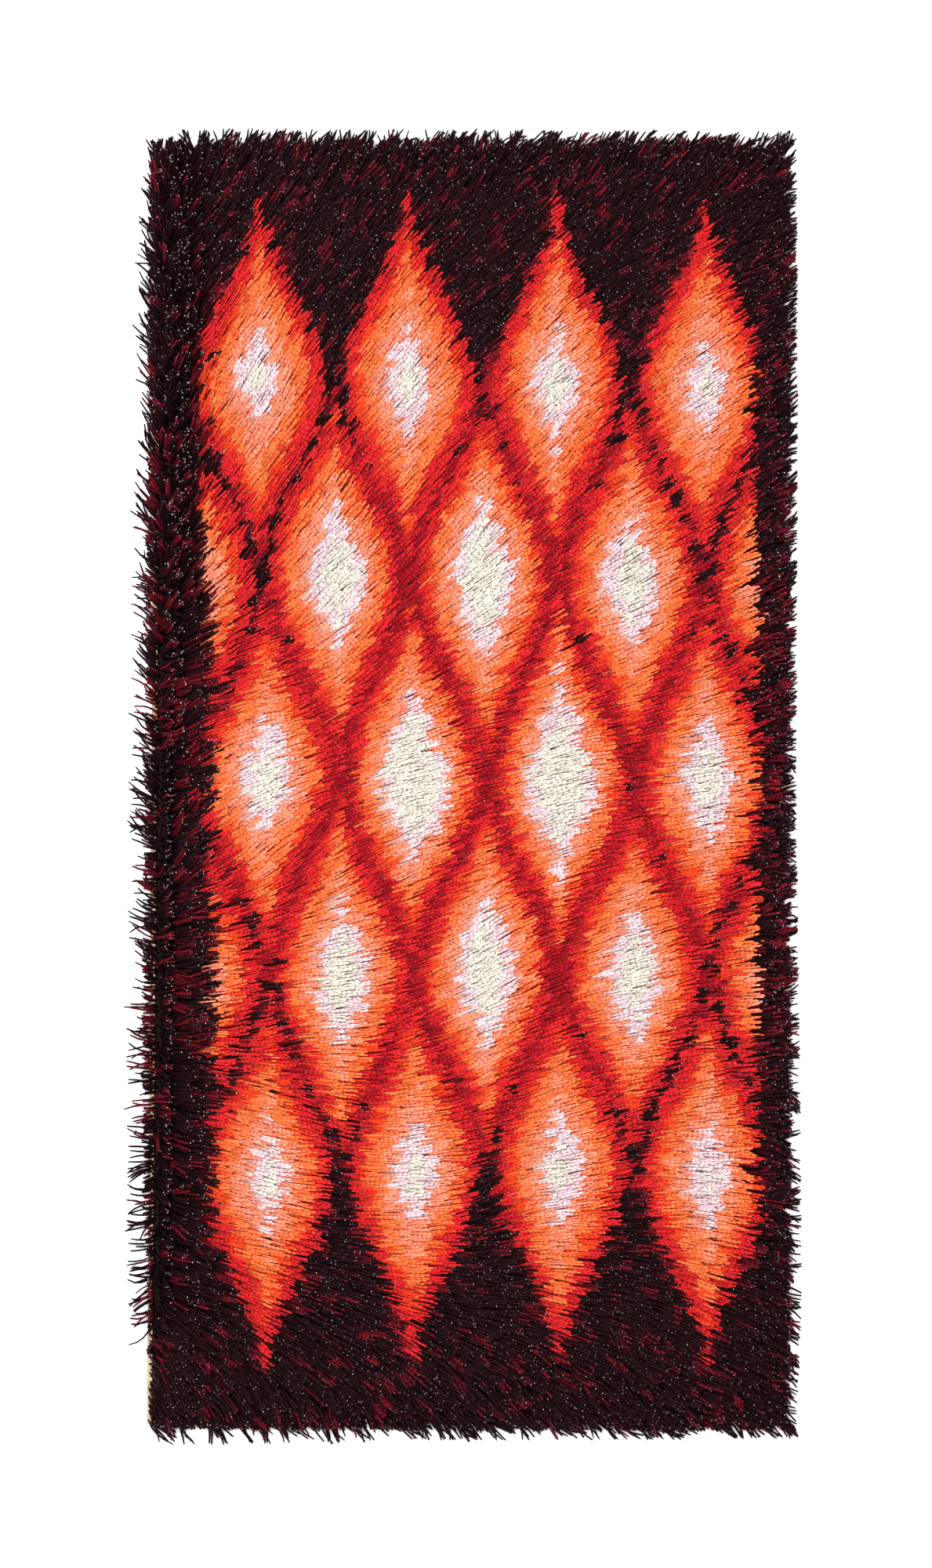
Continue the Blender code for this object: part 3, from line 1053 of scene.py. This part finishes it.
@dataclass
class GroundCloth:
    """The woven ground cloth, with its ribs, its selvedges and its bare ends."""

    lattice: Lattice
    knot_map: str = "knots"
    rows_along: int = 140
    rows_across: int = 56
    rib: float = 0.0022
    warp: float = 0.0030
    bare_side: float = 0.0058
    wander: float = 0.0012
    wander_scale: float = 0.11
    wander_share: float = 0.4
    side_inset: float = 0.0003
    end_inset: float = 0.0005
    softness: float = 0.0009
    knotted_above: float = 0.7 * CLOTH_THICKNESS
    piece: Piece = field(init=False)

    def build(self) -> None:
        """Models the cloth from a grid: its outline, its thickness, then its soft edges."""
        clear_selection()
        bpy.ops.mesh.primitive_grid_add(
            x_subdivisions=self.rows_across, y_subdivisions=self.rows_along, size=1, location=(0, 0, 0)
        )
        self.piece = bpy.context.object
        self.piece.name = "ground_cloth"
        low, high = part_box(CLOTH_NODE)
        middle = (low + high) / 2
        for vert in self.piece.data.vertices:
            along = vert.co.y + 0.5
            left = low.x + self.side_inset + CORNER_DRAW * along
            right = high.x - self.side_inset
            swing = self.wander * noise.noise((along * CLOTH_LENGTH / self.wander_scale, 3.0, 0))
            swing = swing * self.wander_share * abs(vert.co.x)
            vert.co.x = left + (right - left) * (vert.co.x + 0.5) + swing
            vert.co.y = middle.y + vert.co.y * (high.y - low.y - 2 * self.end_inset)
            vert.co.z = 0.0
        solid = self.piece.modifiers.new("thickness", "SOLIDIFY")
        solid.thickness = CLOTH_THICKNESS
        solid.offset = 1
        soft = self.piece.modifiers.new("soft_edges", "BEVEL")
        soft.width = self.softness
        soft.segments = 2
        soft.limit_method = "ANGLE"
        for modifier in (solid, soft):
            bpy.ops.object.modifier_apply(modifier=modifier.name)
        self.piece.data.shade_smooth()
        self.colour_knots()
        self.dress()

    def colour_knots(self) -> None:
        """Gives each point of the cloth the colour of the knots tied there, from the chart."""
        mesh = self.piece.data
        places = np.array([vert.co[:] for vert in mesh.vertices])
        yarn = self.lattice.chart(places[:, 0], places[:, 1], np.random.default_rng(SEED))
        yarn = np.where(yarn == YarnName.WINE.value, YarnName.GROUND.value, yarn)
        colours = np.array([(*YARNS[name].colour, 1.0) for name in YarnName])[yarn]
        layer = mesh.color_attributes.new(name=self.knot_map, type="FLOAT_COLOR", domain="POINT")
        layer.data.foreach_set("color", colours.ravel())

    def dress(self) -> None:
        """Gives the cloth its ribbed weave of beige wool over a linen warp, with painted shade in the
        weave's hollows, and its knotted face the knots' colours darkened by painted shade under the pile.
        """
        nodes = Nodes("ground_weave")
        place = nodes.add("TexCoord").outputs["Object"]
        x, y, z = nodes.add("SeparateXYZ", {0: place}).outputs
        rib = nodes.math("SINE", nodes.times(y, 2 * pi / self.rib))
        warp = nodes.math("SINE", nodes.times(x, 2 * pi / self.warp))
        weave = nodes.times(rib, warp)
        grain = nodes.add("TexNoise", {"Scale": 90, "Detail": 4, "Vector": place}).outputs[0]
        tone = nodes.span(grain, 0.3, 0.7, 0.0, 1.0)
        base = nodes.mix(tone, (0.47, 0.31, 0.17), (0.66, 0.50, 0.32))
        # Painted shade and light: the weave's hollows darker and its ridges lighter, following its bump.
        shade = nodes.span(weave, -1, 1, 0.72, 1.08)
        woven = nodes.vector("SCALE", base, shade)
        above = nodes.math("GREATER_THAN", z, self.knotted_above)
        from_right = nodes.math("LESS_THAN", x, CLOTH_WIDTH / 2 - self.bare_side)
        left = nodes.math("SUBTRACT", x, nodes.times(y, CORNER_DRAW / CLOTH_LENGTH))
        from_left = nodes.math("GREATER_THAN", left, self.bare_side + CORNER_DRAW / 2 - CLOTH_WIDTH / 2)
        from_end = nodes.math("LESS_THAN", nodes.math("ABSOLUTE", y), CLOTH_LENGTH / 2 - self.bare_side)
        knotted = nodes.times(above, from_right, from_left, from_end)
        tied = nodes.add("Attribute", attribute_name=self.knot_map).outputs["Color"]
        # The knots' own colours, darkened to between 0.30 and 0.80 of them as painted shade under the
        # pile.
        knots = nodes.vector("SCALE", tied, nodes.span(weave, -1, 1, 0.30, 0.80))
        colour = nodes.mix(knotted, woven, knots)
        nodes.finish({"Base Color": colour, "Roughness": 0.85, "Specular IOR Level": 0.15})
        nodes.bump(weave, 0.0006, 0.8)
        self.piece.data.materials.append(nodes.material)


@dataclass
class Studio:
    """A pale floor, soft light and a camera straight above, as in the photograph."""

    camera_height: float = 5.0
    frame_height: float = 2000 * PHOTO_SCALE
    sensor: float = 36.0
    centre: tuple[float, float] = (0.5 * PHOTO_SCALE, 2.5 * PHOTO_SCALE)
    room: tuple[tuple[float, ...], float] = ((1.0, 1.0, 1.0, 1.0), 0.36)
    lamps: tuple[tuple[str, Triple, float, float], ...] = (
        ("key", (-1.1, 1.2, 3.2), 0.8, 62),
        ("overhead", (0.0, 0.0, 3.6), 1.5, 205),
    )

    def build(self) -> Piece:
        """Makes the floor, the lights, the world and the camera.

        Returns:
            The floor.
        """
        clear_selection()
        bpy.ops.mesh.primitive_plane_add(size=14, location=(0, 0, 0))
        floor = bpy.context.object
        floor.name = "studio_floor"
        nodes = Nodes("studio_paper")
        nodes.finish({"Base Color": (0.96, 0.96, 0.96), "Roughness": 0.95, "Specular IOR Level": 0.1})
        floor.data.materials.append(nodes.material)
        for lamp in self.lamps:
            self.light(*lamp)
        world = bpy.data.worlds.new("soft_room")
        world.use_nodes = True
        for socket, value in zip(world.node_tree.nodes["Background"].inputs, self.room):
            socket.default_value = value
        bpy.context.scene.world = world
        bpy.context.scene.view_settings.view_transform = "Standard"
        self.camera()
        return floor

    def light(self, name: str, place: Triple, size: float, power: float) -> None:
        """Adds a square soft light that looks at the rug.

        Args:
            name: the light's name.
            place: where it hangs.
            size: the length of its side.
            power: its strength in watts.
        """
        data = bpy.data.lights.new(name, "AREA")
        data.size = size
        data.energy = power
        lamp = bpy.data.objects.new(name, data)
        lamp.location = place
        lamp.rotation_euler = (-Vector(place)).to_track_quat("-Z", "Y").to_euler()
        bpy.context.scene.collection.objects.link(lamp)

    def camera(self) -> None:
        """Adds the camera, looking straight down with the rug's top end up."""
        data = bpy.data.cameras.new("camera")
        data.sensor_width = self.sensor
        data.lens = self.sensor * self.camera_height / self.frame_height
        data.clip_end = 50
        eye = bpy.data.objects.new("camera", data)
        eye.location = (*self.centre, self.camera_height)
        bpy.context.scene.collection.objects.link(eye)
        bpy.context.scene.camera = eye


def declare(pile: Pile, cloth: GroundCloth) -> None:
    """Attaches each piece to the body it rides on, and hides the solids it stands for.

    Args:
        pile: the pile.
        cloth: the ground cloth.
    """
    for piece in pile.pieces:
        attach(piece, BODY)
        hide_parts(PILE_NODE)
    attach(cloth.piece, BODY)
    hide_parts(CLOTH_NODE)
    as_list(pile.pieces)


def main() -> None:
    """Builds the rug and its studio."""
    logging.basicConfig(level=logging.INFO, format="%(name)s: %(message)s")
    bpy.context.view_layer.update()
    floor = Studio().build()
    lattice = Lattice()
    cloth = GroundCloth(lattice)
    cloth.build()
    log.info("ground cloth: %d faces", len(cloth.piece.data.polygons))
    pile = Pile(Lie(), lattice)
    pile.build()
    declare(pile, cloth)


if __name__ == "__main__":
    main()
